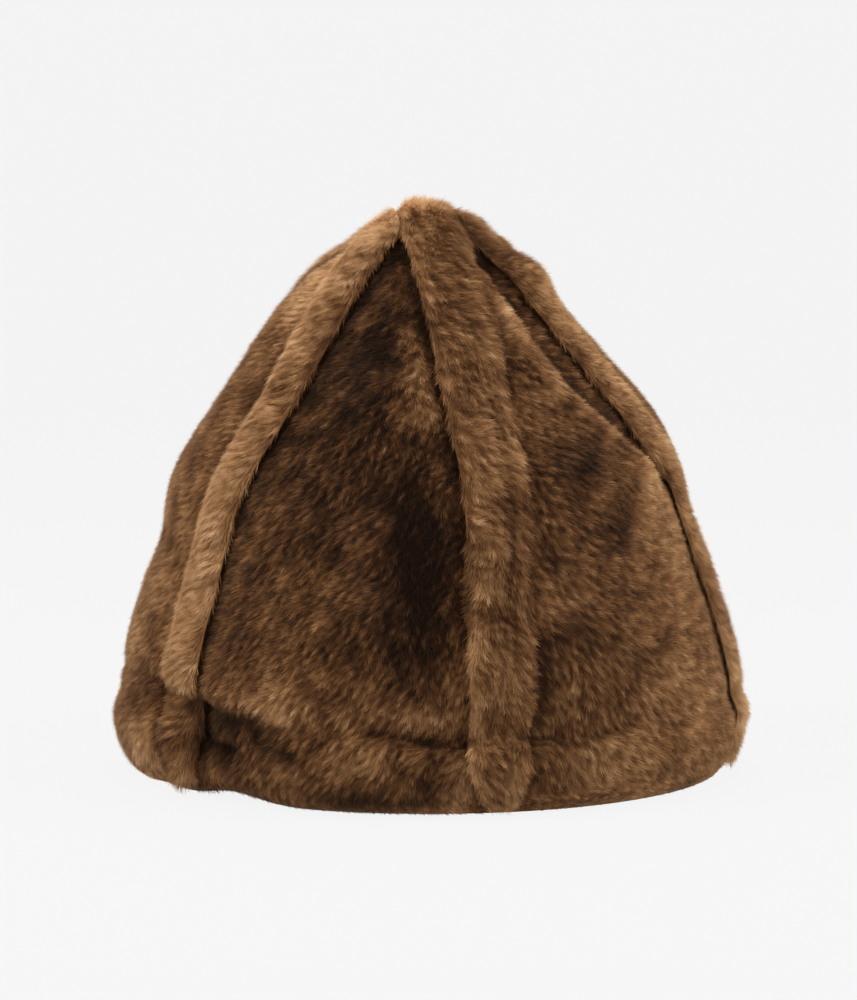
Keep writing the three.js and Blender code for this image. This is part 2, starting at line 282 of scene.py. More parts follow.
# Smooth noise about 0 with spread 1 and its gradient: a sum of waves of about that size in all directions.
def ripple(points, size, seed, waves=20):
    rng = np.random.default_rng(seed)
    heading = rng.normal(size=(waves, 3))
    heading /= np.linalg.norm(heading, axis=1)[:, None]
    heading *= 2 * np.pi / size * rng.uniform(0.7, 1.3, (waves, 1))
    phase = points @ heading.T + rng.uniform(0, 2 * np.pi, waves)
    strength = np.sqrt(2 / waves)
    return strength * np.sin(phase).sum(axis=-1), strength * np.cos(phase) @ heading


# A point of the outer face: the outer line pushed square to itself by dents, seams and stitches, and raised
# by so many millimetres. The puckers come on top of the solids' own form, and the hem's sole stays flat.
def outerPoint(angle, share, raised=0.0):
    slopeHeight = np.interp(share, shares, outerSlope[:, 0])
    slopeRadius = np.interp(share, shares, outerSlope[:, 1])
    push = pushOf(shaping, angle, share) + pushOf(puckers, angle, share)
    push = push - seamSinking(angle, share) - stitchCrease(angle, share)
    push = push * smoothStep(heightAt(share), 0, form["stripFoot"]) + raised
    radius = np.maximum(radiusAt(share) + slopeHeight * push, 0)
    height = np.maximum(heightAt(share) - slopeRadius * push, 0)
    return placed(angle, radius, height)


# A point of the bare inside, straight from the inner line.
def innerPoint(angle, share):
    radius = np.interp(share, shares, innerLine[:, 1])
    height = np.interp(share, shares, innerLine[:, 0])
    return placed(angle, radius, height)


# Half of a strip's width: from its foot to its tip by share, times the rounding of its lower end.
def fullHalf(name, share):
    seam = form["seams"][name]
    rounding = mix(form["footNarrowing"], 1, smoothStep(heightAt(share), 0, form["footRounding"]))
    return mix(*seam["widths"], share) / 2 * rounding


# The same, but at most a share of the way to the nearer of the neighbour seams.
def fittedHalf(name, share):
    index = seamNames.index(name)
    here = seamAngle(name, share)
    neighbours = [seamNames[(index + side) % len(seamNames)] for side in (-1, 1)]
    turns = [np.abs(turnBetween(here, seamAngle(other, share))) for other in neighbours]
    return np.minimum(fullHalf(name, share), form["narrowest"] * np.minimum(*turns) * radiusAt(share))


# Angle and share of the point so far along a seam and so far to its +X side. Low down that is a turn at the
# same height, and near the axis a straight step across the seam.
def besideSeam(name, share, aside):
    radius = radiusAt(share)
    bend = smoothStep(radius, form["straightInside"], form["roundOutside"])
    turn = mix(np.arctan2(aside, radius), aside / np.maximum(radius, 1), bend)
    reached = mix(np.hypot(aside, radius), radius, bend)
    return seamAngle(name, share) + turn, np.where(bend < 1, shareAtRadius(reached), share)


# Where the pile is darker or lighter, which way it lies, and how long it is. Tone runs from 0, the darkest
# brown, to 1, light tan. Turn is the lay's angle from straight down, in degrees, to the +X side if above 0.
coats = {row["name"]: row for row in table("name tone turn length", [
    ("gore_1", 0.49, 40, 1.0),
    ("gore_2", 0.52, 12, 1.0),
    ("gore_3", 0.5, -18, 1.0),
    ("gore_4", 0.54, 20, 1.0),
    ("gore_5", 0.54, -12, 1.0),
    ("gore_6", 0.41, -30, 1.0),
    ("strip_front_back", 0.55, 14, 1.08),
    ("strip_right", 0.73, 22, 1.08),
    ("strip_back_right", 0.6, -15, 1.08),
    ("strip_back_left", 0.6, 12, 1.08),
    ("strip_left", 0.65, -24, 1.25),
])}

# Patches that change the coat round a place: reach is the millimetres to each side, and up and down. "On" is
# a part of the names of the pieces that have them.
patches = table("name on at reach tone turn", [
    ("dark heart, front left", "gore", (-15, 156), (12, 22), -0.34),
    ("dark top, front left", "gore", (-24, 193), (7, 11), -0.18),
    ("brown swirl high beside the front strip", "gore", (-2, 158), (6, 11), 0.16, 40),
    ("dark run beside the front strip", "gore", (-1, 92), (13, 34), -0.27, 25),
    ("dark run, lower", "gore", (-2, 62), (11, 15), -0.2, 10),
    ("brown cloud low on the front left", "gore", (-15, 58), (16, 9), -0.18),
    ("dark flank, front left", "gore", (-25, 114), (19, 28), -0.2),
    ("dark upper flank", "gore", (-28, 150), (12, 17), -0.18),
    ("dark lower flank", "gore", (-38, 74), (10, 17), -0.11),
    ("light foot, front left", "gore", (-27, 44), (20, 9), 0.12, -14),
    ("light stroke above the hem", "", (-1, 37), (9, 5), 0.2),
    ("small dark spot low on the gore", "", (-11, 75), (7, 7), -0.18),
    ("light stroke low on the gore", "", (-26, 64), (12, 7), 0.1),
    ("brown cloud above the hem", "", (-17, 41), (9, 5), -0.12),
    ("light tuft left of the strip's foot", "", (3, 40), (7, 18), 0.16, -10),
    ("light right edge", "", (60, 84), (11, 46), 0.05, 12),
    ("light band under the fold", "gore", (59, 114), (8, 13), 0.2),
    ("brown spot beside the light band", "gore", (43, 99), (7, 9), -0.25),
    ("brown dip beside the shoulder", "gore", (31, 124), (10, 9), -0.1),
    ("brown spot above the left hem", "gore", (-37, 62), (7, 6), -0.13),
    ("brown middle, front right", "gore", (33, 92), (17, 14), -0.09),
    ("light right foot", "", (52, 36), (20, 14), 0.1),
    ("brown shoulder", "gore", (39, 117), (20, 13), -0.28),
    ("dark crown, front right", "gore", (32, 158), (10, 14), -0.06),
    ("round spot", "", (48, 56), (6, 4.5), -0.3, 60),
    ("parting beside the front strip", "gore", (25, 88), (6, 5), -0.22),
    ("small parting", "", (24, 66), (5, 8), -0.06),
    ("brown cloud low on the front right", "gore", (29, 61), (16, 14), -0.22),
    ("brown cloud in the middle", "", (44, 74), (9, 9), -0.09),
    ("front right foot lies straight", "", (27, 34), (16, 24), 0.02, -52),
    ("strip is brown near its top", "", (6, 173), (11, 17), -0.13),
    ("strip lies aslant high up", "", (12, 135), (12, 26), 0.0, 26),
    ("whorl, front strip", "", (9, 102), (7, 5), 0.0, 70),
    ("brown dapple, front strip", "", (11, 68), (7, 6), -0.2),
    # painted shadow in the hollow of the left hem under the crown's overhang; the turn is the pile's lay
    ("dark left hem", "", (-41, 19), (12, 10), -0.3, 40),
    ("dark foot, left strip", "", (-54, 22), (9, 13), -0.24),
    # painted shadow in the left strip's pinch and in the stitched crease of the hem
    ("dark pinch, left strip", "", (-56, 35), (11, 4.5), -0.3),
    ("dark hem crease", "", (-40, 34), (16, 4.5), -0.3),
    ("dark front hem", "", (-13, 5), (19, 5), -0.26),
    ("brown sole at the front left", "", (-34, 5), (10, 6), -0.16),
    ("light front hem", "", (-12, 22), (16, 7), 0.2),
    ("light right hem", "", (33, 20), (17, 10), 0.19),
    ("dark right hem", "", (57, 3), (17, 4), -0.2),
    ("light rim on the far left", "", (-66, 13), (13, 12), 0.36),
    ("dark band on the far left", "", (-66, 33), (12, 5), -0.16),
    ("light left edge", "", (-76, 58), (9, 18), 0.1),
    ("light crest, left strip", "", (-46, 186), (12, 12), 0.06),
    ("brown mottle on the left strip", "", (-46, 149), (9, 9), -0.17),
    ("light puff at the strip's foot", "", (-1, 22), (4, 7), 0.1),
    ("light left foot, front strip", "", (6, 15), (5, 9), 0.08),
    ("light belly, left strip", "strip", (-52, 103), (11, 20), 0.21),
    ("light start of the crown fold", "gore", (32, 176), (6, 13), 0.15),
    # painted light: the fibres on the apex ridge are lightened as if lit from behind and the side
    ("light ridge of the apex", "", (0, 212), (30, 6), 0.26),
    ("back cloud", "", (160, 96), (26, 38), -0.11, 20),
    ("back low cloud", "", (214, 60), (26, 22), -0.1, -20),
    ("back shoulder light", "", (225, 120), (18, 20), 0.12),
    ("side cloud", "", (108, 70), (22, 26), -0.1, 18),
    ("side light foot", "", (100, 30), (20, 12), 0.1),
    ("light left crown", "gore", (-80, 172), (12, 17), 0.04),
    ("brown beside the left strip", "gore", (-68, 119), (7, 18), -0.24),
    ("light left side of the tip", "", (-88, 191), (12, 9), 0.34),
    ("brown spot low at the right edge", "gore", (59, 50), (8, 20), -0.12),
    ("brown spot on the left flank", "gore", (-21, 92), (9, 9), -0.12),
    ("light sole left of the front strip", "gore", (5, 4), (4, 6), 0.15),
    ("left side cloud", "", (-92, 120), (14, 24), -0.12, -16),
])

# The same along lines, with places as in the table of dents and the change of tone as the push.
streaks = table("name on seam from to reach push", [
    # painted shadow in the groove under the crown fold and in the line along the right strip below it
    ("valley under the crown fold", "gore", "right", (-17, 188), (-19, 146), 5, -0.3),
    ("low valley", "gore", "right", (-15, 138), (-12, 112), 4.5, -0.3),
    ("dark line below the valley", "gore", "right", (-11, 104), (-11, 40), 2.6, -0.08),
    ("lit edge of the crown fold", "gore", "right", (-26, 180), (-34, 146), 3.5, 0.2),
    ("lit edge of the low crown fold", "gore", "right", (-32, 136), (-19, 112), 3.5, 0.14),
    ("shadow beside the left strip", "gore", "left", (14, 192), (14, 60), 4.5, -0.16),
    ("shaded flank, left strip", "strip_left", "left", (9.5, 202), (10, 136), 3.2, -0.2),
    ("light flank, left strip", "strip_left", "left", (-5, 204), (-5, 140), 6, 0.18),
    ("brown crest, left strip", "strip_left", "left", (3, 174), (2, 138), 6.5, -0.11),
    ("light top, left strip", "strip_left", "left", (4, 203), (4, 186), 6, 0.1),
    ("light gore beside the left strip's top", "gore", "left", (-12, 200), (-16, 172), 8, 0.26),
    ("shaded left edge, right strip", "strip_right", "right", (-9, 196), (-10, 112), 6, -0.2),
    ("brown crest, right strip", "strip_right", "right", (5, 190), (5, 158), 6, -0.1),
    ("brown foot, right strip", "strip_right", "right", (0, 100), (0, 60), 12, -0.08),
    ("dark top, right strip", "strip_right", "right", (-5, 206), (-5, 194), 7, -0.26),
    ("light top, front strip", "front_back", "front", (-3, 209), (-2, 200), 10, 0.08),
    ("light stroke left of the front strip", "gore", "front", (-21, 166), (-17, 136), 4.5, 0.26),
    ("parting low beside the front strip", "gore", "front", (16, 62), (16, 38), 4.5, -0.26),
    ("shade left of the left strip", "gore", "left", (-14, 150), (-14, 104), 5, -0.12),
    ("soft left edge low, front strip", "", "front", (-11, 58), (-11, 8), 3.5, 0.2),
    ("dark top beside the front strip", "gore", "front", (17, 200), (16, 188), 5, -0.3),
    ("light lobe, front strip", "", "front", (-5, 124), (-6, 62), 4, 0.12),
    # painted shade in the groove along the front strip
    ("groove along the front strip", "", "front", (4, 142), (4, 52), 1.8, -0.04),
])

# How the pile stands: millimetres, degrees and shares.
pile = {
    "perSquareMm": 5.9,
    "length": 3.6,
    "width": 0.3,
    "lengthSpread": (0.78, 1.16),
    "widthSpread": (0.7, 1.3),
    "skinDepth": 2.4,  # how far the skin lies under the tips
    "rise": 31,  # degrees between a fibre and the skin
    "riseSpread": 8,
    "lockSize": 2.8,  # locks of pile that lean together
    "lockPull": 0.32,
    "lockLength": 0.06,  # how much longer and lighter a lock's crest is
    "lockShade": 0.08,
    "lockSeedStep": 5,
    "straying": 9,  # degrees, the spread of the lay from fibre to fibre
    "floorGap": 0.15,
    "shineSpread": 0.16,  # how much a fibre's normal strays from the skin's, and leans along the lay
    "shineLean": 0.2,
    "skinAlong": 0.4,  # the skin has the colour of fibres this far up
    "skinChance": 0.5,
}


# What else shows in the coat. A cloud has its size in millimetres, the step to its seed, and what it adds.
mottle = {
    "toneClouds": [(55, 0, 0.03), (19, 1, 0.035), (7, 3, 0.055)],
    "turnClouds": [(48, 2, 10), (13, 4, 12)],
    # painted shade in the puckers' dents with painted light on their swells, and painted shade in the
    # stitches' crease
    "dentShadeAndLight": 0.12,  # tone for each millimetre of dents and of the stitches' crease
    "creasePaintedShade": 0.08,
}


# Sum of the clouds, each a ripple times what it adds.
def cloudsAt(clouds, points, seed):
    return sum(added * ripple(points, size, seed + step)[0] for size, step, added in clouds)


# The coat at each point: base values of its piece, the patches' exp(-(distance / reach) squared) shares of
# their changes, the streaks, painted shade in dents and the stitches' crease with painted light on swells,
# and soft clouds of noise.
def coatAt(name, angle, share, points, seed):
    tone = np.full(angle.shape, coats[name]["tone"])
    turn = np.full(angle.shape, float(coats[name]["turn"]))
    for patch in patches:
        if patch["on"] not in name:
            continue
        (degrees, height), (across, up) = patch["at"], patch["reach"]
        x = turnBetween(np.radians(degrees), angle) * radiusAt(share) / across
        y = (heightAt(share) - height) / up
        strength = np.exp(-(x**2) - y**2)
        tone += patch["tone"] * strength
        turn += patch.get("turn", 0) * strength
    tone += pushOf([row for row in streaks if row["on"] in name], angle, share)
    tone += cloudsAt(mottle["toneClouds"], points, seed)
    # painted shade in dents and the stitches' crease, painted light on swells
    dents, crease = pushOf(puckers, angle, share), stitchCrease(angle, share)
    tone += mottle["dentShadeAndLight"] * dents - mottle["creasePaintedShade"] * crease
    turn += cloudsAt(mottle["turnClouds"], points, seed)
    return tone, turn


# A mesh object with its points given in millimetres, whose faces all have as many corners.
def meshFrom(name, points, faces):
    mesh = bpy.data.meshes.new(name)
    mesh.vertices.add(len(points))
    mesh.vertices.foreach_set("co", (points * mm).astype(np.float32).ravel())
    mesh.loops.add(faces.size)
    mesh.loops.foreach_set("vertex_index", faces.astype(np.int32).ravel())
    mesh.polygons.add(len(faces))
    mesh.polygons.foreach_set("loop_start", np.arange(0, faces.size, faces.shape[1], dtype=np.int32))
    mesh.polygons.foreach_set("use_smooth", np.full(len(faces), True))
    mesh.update(calc_edges=True)
    piece = bpy.data.objects.new(name, mesh)
    bpy.context.scene.collection.objects.link(piece)
    return piece


# Writes what the material reads at each vertex: how far along the pile it is, tone, and a fibre's own chance.
def setPile(piece, along, tone, chance):
    values = np.stack([along, np.clip(tone, 0, 1), chance, np.ones_like(tone)], axis=1)
    layer = piece.data.attributes.new("pile", "FLOAT_COLOR", "POINT")
    layer.data.foreach_set("color", values.astype(np.float32).ravel())


# Two equal grids, outer and inner, closed into one shell. Rows climb and columns turn to +X.
def shellFaces(rows, columns):
    over = np.arange(rows * columns).reshape(rows, columns)
    under = over + rows * columns

    def quads(a, b, c, d):
        return np.stack([a.ravel(), b.ravel(), c.ravel(), d.ravel()], axis=1)

    return np.vstack([
        quads(over[:-1, :-1], over[:-1, 1:], over[1:, 1:], over[1:, :-1]),
        quads(under[:-1, :-1], under[1:, :-1], under[1:, 1:], under[:-1, 1:]),
        quads(over[:-1, 0], over[1:, 0], under[1:, 0], under[:-1, 0]),
        quads(under[:-1, -1], under[1:, -1], over[1:, -1], over[:-1, -1]),
        quads(under[0, :-1], under[0, 1:], over[0, 1:], over[0, :-1]),
        quads(over[-1, :-1], over[-1, 1:], under[-1, 1:], under[-1, :-1]),
    ])


# Vectors divided by their lengths.
def unit(vectors):
    return vectors / np.maximum(np.linalg.norm(vectors, axis=-1, keepdims=True), 1e-9)


# Directions over a grid: across its columns, up its rows, and out of the skin.
def directions(points):
    up = unit(np.gradient(points, axis=0))
    across = unit(np.gradient(points, axis=1))
    out = unit(np.cross(across, up))
    return unit(np.cross(up, out)), up, out


# Spreads fibres of pile over a grid, evenly by area times density. Each is one slim triangle that starts at
# the skin, rises at the pile's angle along the lay and ends in a point. A ripple pulls the tips together in
# locks, and the grid's tone, turn, length and rise are read between its corners.
def growPile(name, grid, seed):
    rng = np.random.default_rng(seed)
    points = grid["points"]
    across, up, out = directions(points)
    edgeA = points[1:, :-1] - points[:-1, :-1]
    edgeB = points[:-1, 1:] - points[:-1, :-1]
    area = np.linalg.norm(np.cross(edgeA, edgeB), axis=-1)
    weight = area * (grid["density"][1:, 1:] + grid["density"][:-1, :-1]) / 2
    total = np.cumsum(weight.ravel())
    count = int(total[-1] * pile["perSquareMm"])
    picks = (np.arange(count) + rng.random(count)) / count * total[-1]
    cell = np.minimum(np.searchsorted(total, picks), len(total) - 1)
    row, column = np.divmod(cell, points.shape[1] - 1)
    stepUp, stepAcross = rng.random(count), rng.random(count)

    def spread(values):
        extra = (None,) * (values.ndim - 2)
        u, v = stepUp[(slice(None), *extra)], stepAcross[(slice(None), *extra)]
        low = mix(values[row, column], values[row, column + 1], v)
        high = mix(values[row + 1, column], values[row + 1, column + 1], v)
        return mix(low, high, u)

    root, outward = spread(points), unit(spread(out))
    tone, longer = spread(grid["tone"]), spread(grid["length"])
    turn = np.radians(spread(grid["turn"]) + rng.normal(0, pile["straying"], count))[:, None]
    lay = unit(-spread(up) * np.cos(turn) + spread(across) * np.sin(turn))
    side = unit(np.cross(lay, outward))
    locks, lean = ripple(root, pile["lockSize"], seed + pile["lockSeedStep"])
    lean = lean * pile["lockSize"] / (2 * np.pi)
    length = pile["length"] * longer * rng.uniform(*pile["lengthSpread"], count)
    length = length * (1 + pile["lockLength"] * locks)
    width = pile["width"] * rng.uniform(*pile["widthSpread"], count)
    rise = pile["rise"] + spread(grid["rise"]) + rng.normal(0, pile["riseSpread"], count)
    rise = np.radians(rise)[:, None]
    pulled = lean - outward * np.sum(lean * outward, axis=1)[:, None]
    tip = root + (lay * np.cos(rise) + outward * np.sin(rise)) * length[:, None] + pulled * pile["lockPull"]
    half = side * (width / 2)[:, None]
    corners = np.stack([root - half, root + half, tip], axis=1)
    corners[:, :, 2] = np.maximum(corners[:, :, 2], pile["floorGap"])  # the pile stops at the floor
    faces = np.arange(count * 3).reshape(-1, 3)
    piece = meshFrom(name, corners.reshape(-1, 3), faces)
    tone = np.repeat(tone + pile["lockShade"] * locks, 3)
    setPile(piece, np.tile([0.0, 0.0, 1.0], count), tone, np.repeat(rng.random(count), 3))
    shine = unit(outward + pile["shineSpread"] * rng.normal(size=(count, 3)) + pile["shineLean"] * lay)
    piece.data.normals_split_custom_set_from_vertices(np.repeat(shine, 3, axis=0).astype(np.float32))
    piece.data.materials.append(pileWool)
    finishPiece(piece)
    print(name, count, "fibres")


# Colours are sRGB hex codes, and nodes want them linear, so each channel goes through the sRGB curve.
def linear(code):
    channels = np.array([int(code[k:k + 2], 16) for k in (0, 2, 4)]) / 255
    values = np.where(channels <= 0.04045, channels / 12.92, ((channels + 0.055) / 1.055) ** 2.4)
    return (*values.tolist(), 1.0)


# Adds a node with its settings, its sockets' values and its links.
def addNode(material, kind, settings=(), values=(), links=()):
    node = material.node_tree.nodes.new(kind)
    for name, value in dict(settings).items():
        setattr(node, name, value)
    for socket, value in dict(values).items():
        node.inputs[socket].default_value = value
    for socket, source in dict(links).items():
        material.node_tree.links.new(source, node.inputs[socket])
    return node


# A material with no nodes yet.
def newMaterial(name):
    material = bpy.data.materials.new(name)
    material.use_nodes = True
    material.node_tree.nodes.clear()
    return material


# Puts stops of a place and a colour in a ramp, with straight steps between them.
def setRamp(node, stops):
    ramp = node.color_ramp
    ramp.interpolation = "LINEAR"
    while len(ramp.elements) < len(stops):
        ramp.elements.new(0.5)
    for element, (position, colour) in zip(ramp.elements, stops):
        element.position = position
        element.color = linear(colour)


wool = {
    "stops": [(0.0, "180c05"), (0.25, "3a2311"), (0.5, "6a472a"), (0.75, "9a744e"), (1.0, "c6a17a")],
    # painted shade: the pile darkens towards the skin, as between the fibres
    "rootPaintedShade": 0.18,  # how much darker the pile is at the skin, in tone
    "chanceShade": 0.2,  # how much fibres differ
    "flecks": (1.1, 2.0, 0.6),  # the finest noise: its size in millimetres, detail and roughness
    "fleckShade": 0.18,
    "surface": {"Roughness": 0.8, "Specular IOR Level": 0.1, "Sheen Weight": 0.16, "Sheen Roughness": 0.45},
    "sheenColour": "d9a877",
}


# Dyed shearling: sheepskin with its wool shorn to an even pile. Fine fibres hide their own roots, so it is
# dark between the locks, and silky at a glancing angle. The ramp's place is tone, plus amounts for how far
# up the fibre it is, which darkens the fibre towards its root as painted shade, for the fibre's own chance
# and for flecks, less half of them and the depth, which is painted shade on the skin under the pile.
def shornWool(name, depth):
    material = newMaterial(name)
    pileLayer = addNode(material, "ShaderNodeAttribute", {"attribute_name": "pile"})
    parts = addNode(material, "ShaderNodeSeparateColor", links={0: pileLayer.outputs["Color"]})
    place = addNode(material, "ShaderNodeTexCoord")
    size, detail, roughness = wool["flecks"]
    flecks = addNode(
        material, "ShaderNodeTexNoise",
        values={"Scale": 1 / (size * mm), "Detail": detail, "Roughness": roughness},
        links={"Vector": place.outputs["Object"]},
    )
    shade = parts.outputs[1]
    for source, amount in (
        (parts.outputs[0], "rootPaintedShade"), (parts.outputs[2], "chanceShade"), (flecks.outputs[0], "fleckShade"),
    ):
        added = addNode(
            material, "ShaderNodeMath", {"operation": "MULTIPLY_ADD"},
            {1: wool[amount]}, {0: source, 2: shade},
        )
        shade = added.outputs[0]
    middle = (wool["rootPaintedShade"] + wool["chanceShade"] + wool["fleckShade"]) / 2
    evened = addNode(
        material, "ShaderNodeMath", {"operation": "SUBTRACT", "use_clamp": True},
        {1: middle + depth}, {0: shade},
    )
    ramp = addNode(material, "ShaderNodeValToRGB", links={0: evened.outputs[0]})
    setRamp(ramp, wool["stops"])
    surface = addNode(
        material, "ShaderNodeBsdfPrincipled",
        values={**wool["surface"], "Sheen Tint": linear(wool["sheenColour"])},
        links={"Base Color": ramp.outputs[0]},
    )
    # a fibre is one flat triangle, so where its back shows it takes the light that falls on its front
    sheer = addNode(material, "ShaderNodeBsdfTranslucent", links={"Color": ramp.outputs[0]})
    sides = addNode(material, "ShaderNodeNewGeometry")
    fibre = addNode(
        material, "ShaderNodeMixShader",
        links={0: sides.outputs["Backfacing"], 1: surface.outputs[0], 2: sheer.outputs[0]},
    )
    addNode(material, "ShaderNodeOutputMaterial", links={"Surface": fibre.outputs[0]})
    return material


nap = {
    "stops": [(0.3, "6d5038"), (0.7, "8a6a4c")],
    "clouds": (22, 4.0, 0.6),  # noise of the dye: its size in millimetres, detail and roughness
    "grain": (1.1, 3.0, 0.7),  # the same for the nap, coarser than a real one so that it shows
    "relief": 0.4,  # millimetres
    "reliefStrength": 0.5,
    "surface": {"Roughness": 0.92, "Specular IOR Level": 0.2, "Sheen Weight": 0.25, "Sheen Roughness": 0.6},
}


# Suede: the flesh side of the skin, buffed to a short matt nap, a little uneven in its dye. Coarse noise
# picks the colour, and fine noise is the nap's relief.
def suede():
    material = newMaterial("buffed_suede")
    place = addNode(material, "ShaderNodeTexCoord")
    clouds, grain = (
        addNode(
            material, "ShaderNodeTexNoise",
            values={"Scale": 1 / (size * mm), "Detail": detail, "Roughness": roughness},
            links={"Vector": place.outputs["Object"]},
        )
        for size, detail, roughness in (nap["clouds"], nap["grain"])
    )
    ramp = addNode(material, "ShaderNodeValToRGB", links={0: clouds.outputs[0]})
    setRamp(ramp, nap["stops"])
    relief = addNode(
        material, "ShaderNodeBump",
        values={"Strength": nap["reliefStrength"], "Distance": nap["relief"] * mm},
        links={"Height": grain.outputs[0]},
    )
    surface = addNode(
        material, "ShaderNodeBsdfPrincipled",
        values=nap["surface"],
        links={"Base Color": ramp.outputs[0], "Normal": relief.outputs[0]},
    )
    addNode(material, "ShaderNodeOutputMaterial", links={"Surface": surface.outputs[0]})
    return material


pileWool = shornWool("shorn_wool_pile", 0.0)
# the skin is painted darker by this depth, as the shade at the bottom of the pile
skinWool = shornWool("shorn_wool_at_the_skin", 0.06)
insideSuede = suede()
print("materials ready")


# Every piece rides the one body.
def finishPiece(piece):
    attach(piece, "root")


# The closed skin under a piece's pile: its outer grid of points and its inner one, each with its tone.
def makeSkin(name, over, under, overTone, underTone):
    points = np.vstack([over.reshape(-1, 3), under.reshape(-1, 3)])
    piece = meshFrom(name + "_skin", points, shellFaces(*overTone.shape))
    tone = np.append(overTone.ravel(), underTone.ravel())
    setPile(piece, np.full(tone.shape, pile["skinAlong"]), tone, np.full(tone.shape, pile["skinChance"]))
    piece.data.materials.append(skinWool)
    return piece


gores = {
    "columnStep": 2.8,  # millimetres between grid lines
    "rowStep": 2.2,
    "hemRadius": 118,  # where columns are counted
    "coveredColumns": 5,  # under each strip's half
    "leafTop": 33,  # inside, wool shows on the turned-in leaf up to this height
    "soleFade": (1.0, 1.6),  # the pile starts between these heights over the sole
    "stripFade": (0.6, 0.8),  # and at a strip between these shares of its half
    "footHeight": 9,
    "footTurn": 70,  # degrees that the pile turns along the hem at its foot
    "footDroop": 16,
    "footTrim": 0.6,  # the share by which it's shorter there
    # painted shadow: the gore is darkened right beside each strip, where the strip's edge shades it
    "besideShadow": 0.18,  # how much darker a gore is right beside a strip, in tone
    "besideReach": 0.35,  # in halves of the strip
    "coatSeed": 40,
    "coatSeedStep": 10,
    "pileSeed": 200,
}


# Grid of angles and shares between two seams: columns at even steps under each strip's half, then even
# steps of turn between the strips.
def goreSpots(first, second, share, clear, openCount):
    steps = np.linspace(0, 1, gores["coveredColumns"])
    before = [besideSeam(first, share, mix(clear, fittedHalf(first, share), step)) for step in steps]
    after = [besideSeam(second, share, -mix(clear, fittedHalf(second, share), step)) for step in steps[::-1]]
    (startAngle, startShare), (endAngle, endShare) = before[-1], after[0]
    turn = (endAngle - startAngle) % (2 * np.pi)
    between = [
        (startAngle + turn * step, mix(share, mix(startShare, endShare, step), abs(2 * step - 1)))
        for step in np.linspace(0, 1, openCount)[1:-1]
    ]
    angles, columnShares = zip(*before, *between, *after)
    return np.stack(angles, axis=1), np.stack(columnShares, axis=1)


# A gore: a skin between the outer face, sunk by the pile's depth, and the inside, with pile where no strip
# covers it. At the foot the pile turns along the hem, droops and is shorter.
def makeGore(index):
    name = f"gore_{index + 1}"
    first, second = seamNames[index], seamNames[(index + 1) % len(seamNames)]
    top = np.interp(shareAtRadius(form["goreTipRadius"]), shares, outerLength)
    share = shareAtLength(np.linspace(0, top, int(top / gores["rowStep"])))
    span = (seamCurves[second][0] - seamCurves[first][0]) % (2 * np.pi) * gores["hemRadius"]
    openCount = int(span / gores["columnStep"])
    clear = form["pieceGap"] / 2
    angle, spotShare = goreSpots(first, second, share, clear, openCount)
    innerRadius = np.interp(share, shares, innerLine[:, 1])
    innerClear = clear * radiusAt(share) / innerRadius
    innerAngle, innerShare = goreSpots(first, second, share, innerClear, openCount)
    foot = 1 - smoothStep(heightAt(spotShare), 0, gores["footHeight"])
    skin = outerPoint(angle, spotShare, -pile["skinDepth"] * (1 - gores["footTrim"] * foot))
    tone, turn = coatAt(name, angle, spotShare, skin, gores["coatSeed"] + gores["coatSeedStep"] * index)
    piece = makeSkin(name, skin, innerPoint(innerAngle, innerShare), tone, tone)
    piece.data.materials.append(insideSuede)
    rows, columns = angle.shape
    count = (rows - 1) * (columns - 1)
    bare = np.zeros(len(piece.data.polygons), dtype=np.int32)
    bare[count:2 * count] = np.repeat(heightAt(share[:-1]) > gores["leafTop"], columns - 1)
    piece.data.polygons.foreach_set("material_index", bare)
    finishPiece(piece)
    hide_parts(name)
    # distance from the nearer seam in halves of its strip, so the strip's edge is at 1
    halves = []
    for seam, side in ((first, 1), (second, -1)):
        turned = turnBetween(seamAngle(seam, spotShare), angle) * side * radiusAt(spotShare)
        halves.append(turned / np.maximum(fittedHalf(seam, spotShare), 0.1))
    beside = np.minimum(*halves)
    grid = {
        "points": skin,
        "density": smoothStep(beside, *gores["stripFade"]) * smoothStep(skin[:, :, 2], *gores["soleFade"]),
        # the gore's pile gets painted shadow right beside the strips
        "tone": tone - gores["besideShadow"] * np.exp(-(((beside - 1) / gores["besideReach"]) ** 2)),
        "turn": turn + gores["footTurn"] * foot,
        "rise": -gores["footDroop"] * foot,
        "length": coats[name]["length"] * (1 - gores["footTrim"] * foot),
    }
    growPile(name + "_pile", grid, gores["pileSeed"] + index)


